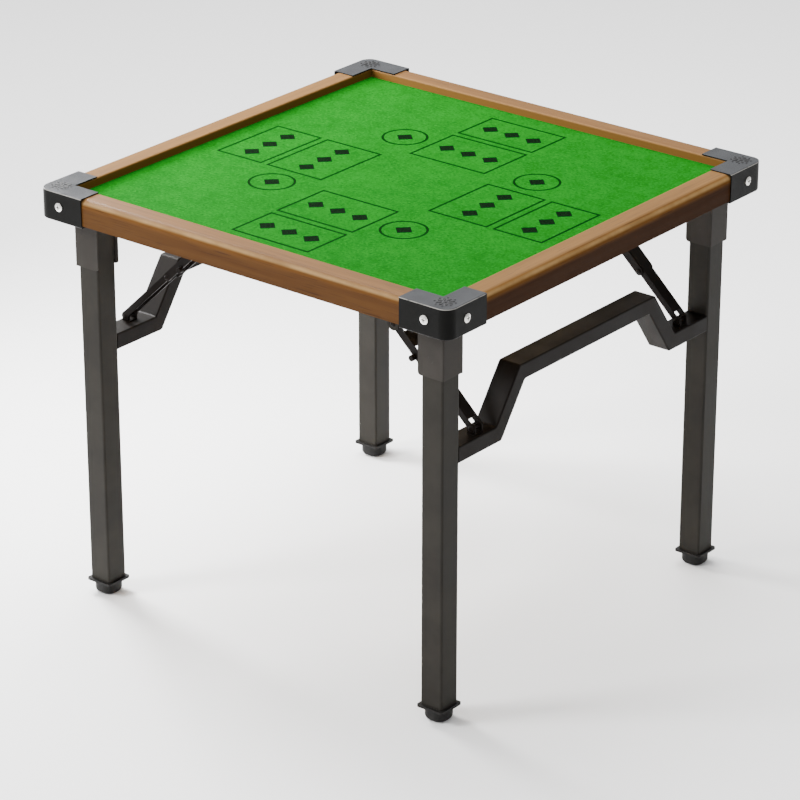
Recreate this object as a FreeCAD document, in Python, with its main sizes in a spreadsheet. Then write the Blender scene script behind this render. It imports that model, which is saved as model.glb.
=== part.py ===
"""Folding mahjong table: felt top in a railed frame on two hinged leg frames with folding stays.

Millimetres, +Z up, origin on the floor under the middle of the top. The right leg frame is at +X and
the left one at -X, and both fold about axes along Y. Bodies that exist on both sides are drawn for the
right side and turned half round about Z for the left.
"""
import FreeCAD, Part
import math
import os

import Sketcher

doc = FreeCAD.newDocument("folding_mahjong_table")
sheet = doc.addObject("Spreadsheet::Sheet", "Sizes")


class Size:
    """A number together with the sheet expression that gives it."""

    def __init__(self, value, text):
        self.value = value
        self.text = text

    def joined(self, other, sign, value):
        return Size(value, "(%s %s %s)" % (self.text, sign, other.text))

    def __add__(self, other):
        other = as_size(other)
        return self.joined(other, "+", self.value + other.value)

    def __sub__(self, other):
        other = as_size(other)
        return self.joined(other, "-", self.value - other.value)

    def __mul__(self, other):
        other = as_size(other)
        return self.joined(other, "*", self.value * other.value)

    def __truediv__(self, other):
        other = as_size(other)
        return self.joined(other, "/", self.value / other.value)

    def __neg__(self):
        return Size(-self.value, "(-%s)" % self.text)

    def __rmul__(self, other):
        return as_size(other) * self


def as_size(number):
    return number if isinstance(number, Size) else Size(float(number), repr(number))


def length_of(run, rise):
    """The long side of a right triangle."""
    return Size(math.hypot(run.value, rise.value), "sqrt(%s ^ 2 + %s ^ 2)" % (run.text, rise.text))


sheet_rows = 0


def size(alias, number):
    """Writes one driving dimension into the sheet and returns it."""
    global sheet_rows
    sheet_rows += 1
    sheet.set("A%d" % sheet_rows, alias)
    sheet.set("B%d" % sheet_rows, str(number))
    sheet.setAlias("B%d" % sheet_rows, alias)
    return Size(float(number), "Sizes." + alias)


# Driving dimensions: the top and its rails
table_width = size("table_width", 850)
table_height = size("table_height", 740)
rail_width = size("rail_width", 41)
rail_height = size("rail_height", 45)
rail_skirt = size("rail_skirt", 20)
rail_round = size("rail_round", 12)
rail_inner_round = size("rail_inner_round", 3)
felt_drop = size("felt_drop", 14)
felt_thickness = size("felt_thickness", 1.5)
felt_pinch = size("felt_pinch", 0.3)
board_thickness = size("board_thickness", 15)
seat_clearance = size("seat_clearance", 0.3)

# Driving dimensions: the corner caps and their screws
cap_wall = size("cap_wall", 2)
cap_arm = size("cap_arm", 95)
cap_height = size("cap_height", 51.5)
cap_corner_round = size("cap_corner_round", 20)
cap_edge_round = size("cap_edge_round", 1.6)
cap_foot_round = size("cap_foot_round", 3)
cap_screw_inset = size("cap_screw_inset", 46)
cap_screw_drop = size("cap_screw_drop", 25)
cap_screw_length = size("cap_screw_length", 38)
cap_screw_radius = size("cap_screw_radius", 2)
cap_screw_head_radius = size("cap_screw_head_radius", 7.5)
cap_screw_head_height = size("cap_screw_head_height", 2.6)
cross_slot_width = size("cross_slot_width", 1.6)
cross_slot_depth = size("cross_slot_depth", 1.4)
screw_clearance = size("screw_clearance", 0.2)

# Driving dimensions: the legs, feet and crossbars
leg_inset = size("leg_inset", 65)
leg_width = size("leg_width", 42)
leg_wall = size("leg_wall", 1.5)
leg_round = size("leg_round", 3.5)
foot_width = size("foot_width", 42)
foot_height = size("foot_height", 22)
foot_round = size("foot_round", 17)
foot_sole_round = size("foot_sole_round", 8)
foot_flange_lip = size("foot_flange_lip", 5)
foot_flange_thickness = size("foot_flange_thickness", 4)
foot_flange_round = size("foot_flange_round", 4)
foot_plug_length = size("foot_plug_length", 25)
plug_clearance = size("plug_clearance", 0.2)
crossbar_height = size("crossbar_height", 28)
crossbar_wall = size("crossbar_wall", 1.5)
crossbar_round = size("crossbar_round", 2.5)
crossbar_bend_round = size("crossbar_bend_round", 6)
crossbar_drop = size("crossbar_drop", 280)
crossbar_rise = size("crossbar_rise", 86)
crossbar_arm_length = size("crossbar_arm_length", 102)
crossbar_bend_run = size("crossbar_bend_run", 60)

# Driving dimensions: the leg brackets and hinges
bracket_wall = size("bracket_wall", 2.5)
bracket_gap = size("bracket_gap", 1.5)
bracket_length = size("bracket_length", 107.5)
bracket_round = size("bracket_round", 6)
bracket_plate_thickness = size("bracket_plate_thickness", 3)
bracket_plate_length = size("bracket_plate_length", 54)
bracket_plate_width = size("bracket_plate_width", 80)
bracket_screw_edge = size("bracket_screw_edge", 7)
bracket_screw_setback = size("bracket_screw_setback", 18)
bracket_screw_spacing = size("bracket_screw_spacing", 24)
leg_top_clearance = size("leg_top_clearance", 1.5)
fold_clearance = size("fold_clearance", 2.5)
hinge_pin_radius = size("hinge_pin_radius", 5)
running_clearance = size("running_clearance", 0.05)
bush_radius = size("bush_radius", 7)
washer_radius = size("washer_radius", 12)
washer_clearance = size("washer_clearance", 0.1)
wood_screw_radius = size("wood_screw_radius", 1.75)
wood_screw_length = size("wood_screw_length", 14)
wood_screw_head_radius = size("wood_screw_head_radius", 4)
wood_screw_head_height = size("wood_screw_head_height", 2.2)

# Driving dimensions: the folding stays
stay_leg_distance = size("stay_leg_distance", 80)
stay_lug_rise = size("stay_lug_rise", 10)
stay_lug_outset = size("stay_lug_outset", 6)
stay_fold_offset = size("stay_fold_offset", 3)
link_wall = size("link_wall", 2)
link_eye_radius = size("link_eye_radius", 7)
lower_link_width = size("lower_link_width", 24)
lower_link_edge_drop = size("lower_link_edge_drop", 4)
lower_web_setback = size("lower_web_setback", 14)
upper_web_setback = size("upper_web_setback", 20)
upper_fork_length = size("upper_fork_length", 52)
tail_clearance = size("tail_clearance", 14)
nesting_clearance = size("nesting_clearance", 1.5)
lug_clearance = size("lug_clearance", 0.3)
lug_wall = size("lug_wall", 2)
lug_length = size("lug_length", 16)
lug_base_thickness = size("lug_base_thickness", 2)
stay_bracket_wall = size("stay_bracket_wall", 2.5)
stay_bracket_gap = size("stay_bracket_gap", 0.6)
stay_bracket_length = size("stay_bracket_length", 22)
stay_bracket_flange = size("stay_bracket_flange", 13)
rivet_radius = size("rivet_radius", 3)
rivet_head_radius = size("rivet_head_radius", 5)
rivet_head_height = size("rivet_head_height", 2)
inner_rivet_head_height = size("inner_rivet_head_height", 1.2)
head_face_share = 0.55
knob_radius = size("knob_radius", 5)
knob_length = size("knob_length", 8)
knob_edge_round = size("knob_edge_round", 1)
knob_knee_distance = size("knob_knee_distance", 40)

# One overrun serves every cut
overrun = size("overrun", 6)

# Derived levels and places
rail_outer = table_width / 2 - cap_wall
rail_inner = rail_outer - rail_width
rail_top = table_height - cap_wall
rail_bottom = rail_top - rail_height
felt_top = rail_top - felt_drop
lip_bottom = felt_top - felt_pinch
board_top = felt_top - felt_thickness
board_bottom = board_top - board_thickness
board_half = rail_outer - rail_skirt - seat_clearance
cap_bottom = table_height - cap_height
cap_inner_round = cap_corner_round - cap_wall
cap_screw_place = table_width / 2 - cap_screw_inset
cap_screw_level = table_height - cap_screw_drop
leg_place = table_width / 2 - leg_inset
leg_half = leg_width / 2
foot_flange_half = leg_half + foot_flange_lip
tube_bottom = foot_height + foot_flange_thickness
plate_bottom = board_bottom - bracket_plate_thickness
bracket_bottom = board_bottom - bracket_length
bracket_half = leg_half + bracket_gap + bracket_wall
upper_hinge_level = board_bottom - foot_flange_half - leg_top_clearance
lower_hinge_level = upper_hinge_level - leg_half - foot_flange_half - fold_clearance
crossbar_arm_level = table_height - crossbar_drop
crossbar_span = leg_place - leg_half
crossbar_low_bend = crossbar_span - crossbar_arm_length
crossbar_high_bend = crossbar_low_bend - crossbar_bend_run
arm_top = crossbar_arm_level + crossbar_height / 2
stay_centre = leg_place - stay_leg_distance
lug_level = arm_top + stay_lug_rise
lug_place = leg_place + stay_lug_outset
lug_outside = lower_link_width - 2 * link_wall - 2 * lug_clearance
upper_link_inside = lower_link_width + 2 * nesting_clearance
upper_link_width = upper_link_inside + 2 * link_wall
lower_link_tail = upper_fork_length - tail_clearance
stay_bracket_inside = upper_link_width + 2 * stay_bracket_gap
stay_bracket_width = stay_bracket_inside + 2 * stay_bracket_wall
rivet_bore = rivet_radius + running_clearance

HINGE_LEVEL = {"right": lower_hinge_level, "left": upper_hinge_level}
SIDE_TURN = {"right": 0, "left": 180}
END_SIGN = {"front": -1, "rear": 1}
UP = FreeCAD.Vector(0, 0, 1)
ACROSS = FreeCAD.Vector(0, 1, 0)
ORIGIN = FreeCAD.Vector(0, 0, 0)
doc.recompute()

exported = []


def turned(angle):
    """A placement turned about the table's upright middle axis."""
    return FreeCAD.Placement(ORIGIN, FreeCAD.Rotation(UP, angle))


def new_body(label):
    body = doc.addObject("PartDesign::Body", label)
    body.Label = label
    return body


def sketch_on(body, role, offset=None):
    """A sketch on one of the body's own origin planes, moved along the plane's normal."""
    sketch = body.newObject("Sketcher::SketchObject", body.Name + "_sketch")
    planes = [plane for plane in body.Origin.OriginFeatures if plane.Role == role]
    sketch.AttachmentSupport = [(planes[0], "")]
    sketch.MapMode = "FlatFace"
    if offset is not None:
        sketch.setExpression("AttachmentOffset.Base.z", offset.text)
    return sketch


def hold_point(sketch, geometry, point, across, up):
    """Ties one point to the sketch origin by two distances bound to the sheet."""
    for kind, distance in (("DistanceX", as_size(across)), ("DistanceY", as_size(up))):
        index = sketch.addConstraint(Sketcher.Constraint(kind, -1, 1, geometry, point, distance.value))
        sketch.setExpression("Constraints[%d]" % index, distance.text)


def outline(sketch, corners):
    """A closed run of straight lines through corners given as pairs of sizes."""
    spots = [FreeCAD.Vector(as_size(a).value, as_size(b).value, 0) for a, b in corners]
    first = sketch.GeometryCount
    count = len(spots)
    for index in range(count):
        sketch.addGeometry(Part.LineSegment(spots[index], spots[(index + 1) % count]), False)
    for index in range(count):
        following = first + (index + 1) % count
        sketch.addConstraint(Sketcher.Constraint("Coincident", first + index, 2, following, 1))
        hold_point(sketch, first + index, 1, *corners[index])


def rectangle(sketch, left, right, low, high):
    outline(sketch, [(left, low), (right, low), (right, high), (left, high)])


def circle(sketch, across, up, radius):
    spot = FreeCAD.Vector(as_size(across).value, as_size(up).value, 0)
    index = sketch.addGeometry(Part.Circle(spot, UP, radius.value), False)
    hold_point(sketch, index, 3, across, up)
    bound = sketch.addConstraint(Sketcher.Constraint("Radius", index, radius.value))
    sketch.setExpression("Constraints[%d]" % bound, radius.text)


def extruded(body, kind, sketch, depth, side_type="One side", backwards=False):
    """A Pad or a Pocket whose depth is bound to the sheet."""
    feature = body.newObject("PartDesign::" + kind, body.Name + "_" + kind.lower())
    feature.Profile = sketch
    feature.SideType = side_type
    feature.Reversed = backwards
    feature.Length = depth.value
    feature.setExpression("Length", depth.text)
    body.Tip = feature
    doc.recompute()
    return feature


def pad(body, sketch, depth, side_type="One side", backwards=False):
    return extruded(body, "Pad", sketch, depth, side_type, backwards)


def pocket(body, sketch, depth, side_type="Symmetric", backwards=False):
    """Cuts, and stops the build if nothing was cut."""
    before = body.Shape.Volume
    feature = extruded(body, "Pocket", sketch, depth, side_type, backwards)
    if not body.Shape.Volume < before:
        raise RuntimeError("a pocket of %s cuts nothing" % body.Label)
    return feature


def rounded(body, radius, wanted):
    """Rounds the edges of the body's tip for which wanted says yes."""
    tip = body.Tip
    names = ["Edge%d" % (i + 1) for i, edge in enumerate(tip.Shape.Edges) if wanted(edge)]
    feature = body.newObject("PartDesign::Fillet", body.Name + "_fillet")
    feature.Base = (tip, names)
    feature.Radius = radius.value
    feature.setExpression("Radius", radius.text)
    body.Tip = feature
    doc.recompute()
    return feature


NEAR = seat_clearance.value / 10


def runs_along(edge, axis):
    """Whether a straight edge is parallel to one of the axes x, y, z."""
    if len(edge.Vertexes) != 2:
        return False
    start, end = (vertex.Point for vertex in edge.Vertexes)
    others = [name for name in "xyz" if name != axis]
    return all(abs(getattr(start, name) - getattr(end, name)) < NEAR for name in others)


def lies_at(edge, **places):
    """Whether the middle of an edge lies at the given places, on either side of the origin."""
    middle = edge.BoundBox.Center
    return all(abs(abs(getattr(middle, name)) - place.value) < NEAR for name, place in places.items())


def keep(piece, placement=None):
    """Places a finished sub-part and lists it for export."""
    if placement is not None:
        piece.Placement = placement
    exported.append(piece)


def group(label, master, placements):
    """One sub-part made of equal separate solids."""
    copies = []
    for placement in placements:
        copy = master.Shape.copy()
        copy.Placement = placement
        copies.append(copy)
    piece = doc.addObject("Part::Feature", label)
    piece.Label = label
    piece.Shape = Part.makeCompound(copies)
    keep(piece)


def corner_places():
    """Side and end names of the four corners, with the turn and the sign of Y in the side's own frame."""
    for side, turn in SIDE_TURN.items():
        for end, sign in END_SIGN.items():
            yield side, end, turn, sign if side == "right" else -sign


def square_pad(body, half, low, thickness):
    """A square layer lying level about the middle of the table."""
    sketch = sketch_on(body, "XY_Plane", low)
    rectangle(sketch, -half, half, -half, half)
    pad(body, sketch, thickness)


def board_and_felt():
    """The board, and the felt on it whose margin the rails pinch."""
    board = new_body("top_board")
    square_pad(board, board_half, board_bottom, board_thickness)
    keep(board)
    felt = new_body("playing_felt")
    square_pad(felt, board_half, board_top, felt_thickness - felt_pinch)
    square_pad(felt, rail_inner - seat_clearance, lip_bottom, felt_pinch)
    keep(felt)


def rail(label, turn):
    """A moulding whose lip covers the edge of the felt and whose skirt hides the board."""
    body = new_body(label)
    section = sketch_on(body, "XZ_Plane")
    skirt_inner = rail_outer - rail_skirt
    outline(section, [(skirt_inner, rail_bottom), (rail_outer, rail_bottom), (rail_outer, rail_top),
                      (rail_inner, rail_top), (rail_inner, lip_bottom), (skirt_inner, lip_bottom)])
    pad(body, section, 2 * rail_outer, "Symmetric")
    rounded(body, rail_round,
            lambda edge: runs_along(edge, "y") and lies_at(edge, x=rail_outer, z=rail_top))
    rounded(body, rail_inner_round,
            lambda edge: runs_along(edge, "y") and lies_at(edge, x=rail_inner, z=rail_top))
    mitres = sketch_on(body, "XY_Plane")
    near = rail_inner - overrun
    far = rail_outer + overrun
    tip = rail_outer - cap_inner_round / 2
    waste = [(near, near), (tip, tip), (far, 2 * tip - far), (far, far), (near, far)]
    outline(mitres, waste)
    outline(mitres, [(x, -y) for x, y in waste])
    pocket(body, mitres, 2 * (table_height + overrun))
    holes = sketch_on(body, "YZ_Plane", rail_outer)
    for sign in (-1, 1):
        circle(holes, sign * cap_screw_place, cap_screw_level, cap_screw_radius + screw_clearance)
    pocket(body, holes, 2 * (rail_skirt + overrun))
    keep(body, turned(turn))


def corner_cap(label, turn):
    """A moulded cap that wraps the top, the outer faces and the underside of two rails."""
    body = new_body(label)
    outer = table_width / 2
    end = outer - cap_arm
    inner = rail_inner
    plan = sketch_on(body, "XY_Plane", cap_bottom)
    outline(plan, [(end, outer), (outer, outer), (outer, end), (inner, end), (inner, inner), (end, inner)])
    pad(body, plan, cap_height)
    rounded(body, cap_corner_round,
            lambda edge: runs_along(edge, "z") and lies_at(edge, x=outer, y=outer))

    def outer_rim(level):
        def is_rim(edge):
            box = edge.BoundBox
            return box.ZLength < NEAR and abs(box.ZMin - level.value) < NEAR and all(
                max(vertex.X, vertex.Y) > outer.value - NEAR for vertex in edge.Vertexes)
        return is_rim

    rounded(body, cap_edge_round, outer_rim(table_height))
    rounded(body, cap_foot_round, outer_rim(cap_bottom))
    hollow = sketch_on(body, "XY_Plane", rail_top)
    near = inner - overrun
    past = end - overrun
    bevel = rail_outer - cap_inner_round
    outline(hollow, [(past, rail_outer), (bevel, rail_outer), (rail_outer, bevel), (rail_outer, past),
                     (near, past), (near, near), (past, near)])
    pocket(body, hollow, rail_height + seat_clearance, "One side")
    skirt_inner = rail_outer - rail_skirt
    floor_cut = sketch_on(body, "XY_Plane", rail_bottom)
    outline(floor_cut, [(past, skirt_inner), (skirt_inner, skirt_inner), (skirt_inner, past),
                        (near, past), (near, near), (past, near)])
    pocket(body, floor_cut, rail_bottom - cap_bottom + overrun, "One side")
    for role, sign in (("XZ_Plane", -1), ("YZ_Plane", 1)):
        hole = sketch_on(body, role, sign * outer)
        circle(hole, cap_screw_place, cap_screw_level, cap_screw_radius + screw_clearance)
        pocket(body, hole, 2 * (cap_wall + overrun))
    keep(body, turned(turn))


def revolved(label, profile_corners):
    """A turned piece about Z from corners given as radius and height."""
    body = new_body(label)
    sketch = sketch_on(body, "XZ_Plane")
    outline(sketch, profile_corners)
    feature = body.newObject("PartDesign::Revolution", label + "_turning")
    feature.Profile = sketch
    feature.ReferenceAxis = (sketch, ["V_Axis"])
    feature.Angle = 360
    body.Tip = feature
    doc.recompute()
    return body


def domed_screw(label, radius, length, head_radius, head_height):
    """A pan-head screw standing head up on the level z = 0, with a cross in the head."""
    body = revolved(label, [(0, -length), (radius, -length), (radius, 0), (head_radius, 0),
                            (head_radius, head_height / 2), (head_radius * head_face_share, head_height),
                            (0, head_height)])
    for run, rise in ((head_radius, cross_slot_width), (cross_slot_width, head_radius)):
        slot = sketch_on(body, "XY_Plane", head_height)
        rectangle(slot, -run / 2, run / 2, -rise / 2, rise / 2)
        pocket(body, slot, cross_slot_depth, "One side")
    return body


def corner_cap_screws():
    """Two screws through each cap and its rails into the edge of the board."""
    master = domed_screw("cap_screw", cap_screw_radius, cap_screw_length,
                         cap_screw_head_radius, cap_screw_head_height)
    outward = FreeCAD.Rotation(UP, FreeCAD.Vector(1, 0, 0))
    places = []
    for turn in (0, 90, 180, 270):
        for sign in (-1, 1):
            spot = FreeCAD.Vector(table_width.value / 2, sign * cap_screw_place.value,
                                  cap_screw_level.value)
            places.append(turned(turn) * FreeCAD.Placement(spot, outward))
    group("corner_cap_screws", master, places)


def leg_bracket(label, turn, place_y, level):
    """A channel with a screw plate on top, open towards the middle of the table."""
    body = new_body(label)
    web_outer = leg_place + bracket_half
    web_inner = web_outer - bracket_wall
    open_edge = leg_place - bracket_half
    low = place_y - bracket_half
    high = place_y + bracket_half
    channel = sketch_on(body, "XY_Plane", bracket_bottom)
    outline(channel, [(open_edge, low), (web_outer, low), (web_outer, high), (open_edge, high),
                      (open_edge, high - bracket_wall), (web_inner, high - bracket_wall),
                      (web_inner, low + bracket_wall), (open_edge, low + bracket_wall)])
    pad(body, channel, plate_bottom - bracket_bottom)

    def is_open_foot(edge):
        middle = edge.BoundBox.Center
        return runs_along(edge, "y") and edge.Length < 2 * bracket_wall.value and (
            abs(middle.x - open_edge.value) < NEAR and abs(middle.z - bracket_bottom.value) < NEAR)

    def is_back_edge(edge):
        middle = edge.BoundBox.Center
        return runs_along(edge, "z") and abs(middle.x - web_outer.value) < NEAR

    rounded(body, bracket_round, is_open_foot)
    rounded(body, bracket_wall, is_back_edge)
    plate = sketch_on(body, "XY_Plane", plate_bottom)
    rectangle(plate, web_outer - bracket_plate_length, web_outer,
              place_y - bracket_plate_width / 2, place_y + bracket_plate_width / 2)
    pad(body, plate, bracket_plate_thickness)
    bore = sketch_on(body, "XZ_Plane", -place_y)
    circle(bore, leg_place, level, hinge_pin_radius + running_clearance)
    pocket(body, bore, 2 * (bracket_half + overrun))
    screw_holes = sketch_on(body, "XY_Plane", plate_bottom)
    for x, y in bracket_screw_spots(place_y):
        circle(screw_holes, x, y, wood_screw_radius + screw_clearance)
    pocket(body, screw_holes, 2 * (bracket_plate_thickness + overrun))
    keep(body, turned(turn))


def bracket_screw_spots(place_y):
    """The four screws of a leg bracket's plate."""
    reach = bracket_plate_width / 2 - bracket_screw_edge
    back = leg_place + bracket_half - bracket_screw_setback
    return [(x, y) for x in (back, back - bracket_screw_spacing) for y in (place_y - reach, place_y + reach)]


def stay_bracket_place(side):
    """Where a stay's upper pivot is along X, a little further out than the folded lower pivot."""
    return leg_place - (HINGE_LEVEL[side] - lug_level) + stay_fold_offset


def stay_bracket_level(side):
    """The height of a stay's upper pivot, level with the folded lower pivot."""
    return HINGE_LEVEL[side] - stay_lug_outset


def stay_bracket_screw_spots(side, place_y):
    reach = (stay_bracket_width + stay_bracket_flange) / 2
    return [(stay_bracket_place(side), place_y - reach), (stay_bracket_place(side), place_y + reach)]


def stay_bracket(label, side, turn, place_y):
    """A bracket under the board whose two ears carry the top end of a stay between them."""
    body = new_body(label)
    middle = stay_bracket_place(side)
    level = stay_bracket_level(side)
    half = stay_bracket_length / 2
    reach = stay_bracket_width / 2 + stay_bracket_flange
    plate = sketch_on(body, "XY_Plane", plate_bottom)
    rectangle(plate, middle - half, middle + half, place_y - reach, place_y + reach)
    pad(body, plate, bracket_plate_thickness)
    ears = sketch_on(body, "XZ_Plane", -place_y)
    rectangle(ears, middle - half, middle + half, level, plate_bottom)
    pad(body, ears, stay_bracket_width, "Symmetric")
    ends = sketch_on(body, "XZ_Plane", -place_y)
    circle(ends, middle, level, half)
    pad(body, ends, stay_bracket_width, "Symmetric")
    between = sketch_on(body, "XZ_Plane", -place_y)
    past = half + overrun
    rectangle(between, middle - past, middle + past, level - past, plate_bottom)
    pocket(body, between, stay_bracket_inside)
    bore = sketch_on(body, "XZ_Plane", -place_y)
    circle(bore, middle, level, rivet_bore)
    pocket(body, bore, stay_bracket_width + 2 * overrun)
    holes = sketch_on(body, "XY_Plane", plate_bottom)
    for x, y in stay_bracket_screw_spots(side, place_y):
        circle(holes, x, y, wood_screw_radius + screw_clearance)
    pocket(body, holes, 2 * (bracket_plate_thickness + overrun))
    keep(body, turned(turn))


def stay_lug(label, turn, place_y):
    """A small welded channel on a crossbar arm, its two ears inside the foot of a stay."""
    body = new_body(label)
    half = lug_length / 2
    side_view = sketch_on(body, "XZ_Plane", -place_y)
    rectangle(side_view, lug_place - half, lug_place + half, arm_top, lug_level)
    pad(body, side_view, lug_outside, "Symmetric")
    ends = sketch_on(body, "XZ_Plane", -place_y)
    circle(ends, lug_place, lug_level, half)
    pad(body, ends, lug_outside, "Symmetric")
    between = sketch_on(body, "XZ_Plane", -place_y)
    past = half + overrun
    rectangle(between, lug_place - past, lug_place + past, arm_top + lug_base_thickness, lug_level + past)
    pocket(body, between, lug_outside - 2 * lug_wall)
    bore = sketch_on(body, "XZ_Plane", -place_y)
    circle(bore, lug_place, lug_level, rivet_bore)
    pocket(body, bore, lug_outside + 2 * overrun)
    keep(body, turned(turn))


def wood_screws():
    """The screws that hold the leg brackets and the stay brackets under the board."""
    master = domed_screw("wood_screw", wood_screw_radius, wood_screw_length,
                         wood_screw_head_radius, wood_screw_head_height)
    head_down = FreeCAD.Rotation(FreeCAD.Vector(1, 0, 0), 180)
    leg_bracket_places = []
    stay_bracket_places = []
    for side, end, turn, sign in corner_places():
        for x, y in bracket_screw_spots(sign * leg_place):
            spot = FreeCAD.Vector(x.value, y.value, plate_bottom.value)
            leg_bracket_places.append(turned(turn) * FreeCAD.Placement(spot, head_down))
        for x, y in stay_bracket_screw_spots(side, sign * stay_centre):
            spot = FreeCAD.Vector(x.value, y.value, plate_bottom.value)
            stay_bracket_places.append(turned(turn) * FreeCAD.Placement(spot, head_down))
    group("leg_bracket_screws", master, leg_bracket_places)
    group("stay_bracket_screws", master, stay_bracket_places)


def ring(label, bore, radius, width):
    """A bush or washer about Z, middled on z = 0."""
    half = width / 2
    return revolved(label, [(bore, -half), (radius, -half), (radius, half), (bore, half)])


def lying(spot, direction=ACROSS):
    """A placement that lays a piece drawn about Z along Y or against it."""
    return FreeCAD.Placement(spot, FreeCAD.Rotation(UP, direction))


def hinge_spot(side, y):
    return FreeCAD.Vector(leg_place.value, y, HINGE_LEVEL[side].value)


def leg_hinges():
    """Flush pins through the brackets, washers beside the legs and bushes inside them."""
    pin = revolved("hinge_pin", [(0, -bracket_half), (hinge_pin_radius, -bracket_half),
                                 (hinge_pin_radius, bracket_half), (0, bracket_half)])
    bore = hinge_pin_radius + running_clearance
    washer = ring("hinge_washer", bore, washer_radius, bracket_gap - 2 * washer_clearance)
    bush = ring("hinge_bush", bore, bush_radius, leg_width - 2 * leg_wall - 2 * plug_clearance)
    washer_step = leg_half.value + bracket_gap.value / 2
    pins = []
    washers = []
    bushes = {"right": [], "left": []}
    for side, end, turn, sign in corner_places():
        middle = sign * leg_place.value
        pins.append(turned(turn) * lying(hinge_spot(side, middle)))
        bushes[side].append(turned(turn) * lying(hinge_spot(side, middle)))
        for step in (-washer_step, washer_step):
            washers.append(turned(turn) * lying(hinge_spot(side, middle + step)))
    group("leg_hinge_pins", pin, pins)
    group("leg_hinge_washers", washer, washers)
    for side, places in bushes.items():
        group(side + "_hinge_bushes", bush, places)


def leg(label, turn, place_y, level):
    """A square tube whose side walls end in round lobes about the hinge pin."""
    body = new_body(label)
    inside = leg_half - leg_wall
    section = sketch_on(body, "XY_Plane", tube_bottom)
    for half in (leg_half, inside):
        rectangle(section, leg_place - half, leg_place + half, place_y - half, place_y + half)
    pad(body, section, level - tube_bottom)

    def is_outer_corner(edge):
        middle = edge.BoundBox.Center
        return runs_along(edge, "z") and abs(abs(middle.x - leg_place.value) - leg_half.value) < NEAR and (
            abs(abs(middle.y - place_y.value) - leg_half.value) < NEAR)

    rounded(body, leg_round, is_outer_corner)
    for sign in (-1, 1):
        lobe = sketch_on(body, "XZ_Plane", -(place_y + sign * (leg_half - leg_wall / 2)))
        circle(lobe, leg_place, level, leg_half)
        pad(body, lobe, leg_wall, "Symmetric")
    bore = sketch_on(body, "XZ_Plane", -place_y)
    circle(bore, leg_place, level, hinge_pin_radius + running_clearance)
    pocket(body, bore, 2 * (leg_half + overrun))
    keep(body, turned(turn))


def foot(label, turn, place_y):
    """A moulded foot: a rounded sole, a square flange and a plug in the tube."""
    body = new_body(label)
    plug_half = leg_half - leg_wall - plug_clearance

    def block(half, low, height):
        sketch = sketch_on(body, "XY_Plane", low)
        rectangle(sketch, leg_place - half, leg_place + half, place_y - half, place_y + half)
        pad(body, sketch, height)

    def corner_of(half, high):
        def is_corner(edge):
            middle = edge.BoundBox.Center
            return runs_along(edge, "z") and middle.z < high.value and (
                abs(abs(middle.x - leg_place.value) - half.value) < NEAR)
        return is_corner

    block(foot_width / 2, as_size(0), foot_height)
    rounded(body, foot_round, corner_of(foot_width / 2, foot_height))
    rounded(body, foot_sole_round, lambda edge: edge.BoundBox.ZMax < NEAR)
    block(foot_flange_half, foot_height, foot_flange_thickness)
    rounded(body, foot_flange_round, corner_of(foot_flange_half, tube_bottom))
    block(plug_half, tube_bottom, foot_plug_length)
    keep(body, turned(turn))


def crossbar(label, turn):
    """A bent tube between two legs: low ends, steep diagonals and a higher middle run."""
    body = new_body(label)
    slant = length_of(crossbar_bend_run, crossbar_rise)
    mid_level = crossbar_arm_level + crossbar_rise

    def bar_outline(sketch, half):
        shift = half * (slant - crossbar_bend_run) / crossbar_rise
        bottom = crossbar_arm_level - half
        top_edge = crossbar_arm_level + half
        below = [(crossbar_span, bottom), (crossbar_low_bend - shift, bottom),
                 (crossbar_high_bend - shift, mid_level - half)]
        above = [(crossbar_high_bend + shift, mid_level + half),
                 (crossbar_low_bend + shift, top_edge), (crossbar_span, top_edge)]
        mirrored_below = [(-y, z) for y, z in reversed(below)]
        mirrored_above = [(-y, z) for y, z in reversed(above)]
        outline(sketch, below + mirrored_below + mirrored_above + above)

    bar = sketch_on(body, "YZ_Plane", leg_place)
    bar_outline(bar, crossbar_height / 2)
    pad(body, bar, leg_width, "Symmetric")
    rounded(body, crossbar_bend_round,
            lambda edge: runs_along(edge, "x") and abs(edge.BoundBox.Center.y) < crossbar_span.value - NEAR)
    rounded(body, crossbar_round,
            lambda edge: edge.BoundBox.XLength < NEAR and edge.BoundBox.YLength > NEAR)
    hollow = sketch_on(body, "YZ_Plane", leg_place)
    bar_outline(hollow, crossbar_height / 2 - crossbar_wall)
    pocket(body, hollow, leg_width - 2 * crossbar_wall)
    keep(body, turned(turn))


def stay_lengths(side):
    """Run, rise and the lengths of the upper and lower links, which lie in one line at rest."""
    run = lug_place - stay_bracket_place(side)
    rise = stay_bracket_level(side) - lug_level
    whole = length_of(run, rise)
    return run, rise, (whole - stay_fold_offset) / 2, (whole + stay_fold_offset) / 2


def on_stay(side, turn, end_y, down):
    """A placement along the stay, X down the slope, at a distance from the upper pivot."""
    run, rise = stay_lengths(side)[:2]
    slope = math.atan2(rise.value, run.value)
    spot = FreeCAD.Vector(stay_bracket_place(side).value + down * math.cos(slope), end_y,
                          stay_bracket_level(side).value - down * math.sin(slope))
    return turned(turn) * FreeCAD.Placement(spot, FreeCAD.Rotation(ACROSS, math.degrees(slope)))


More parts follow.
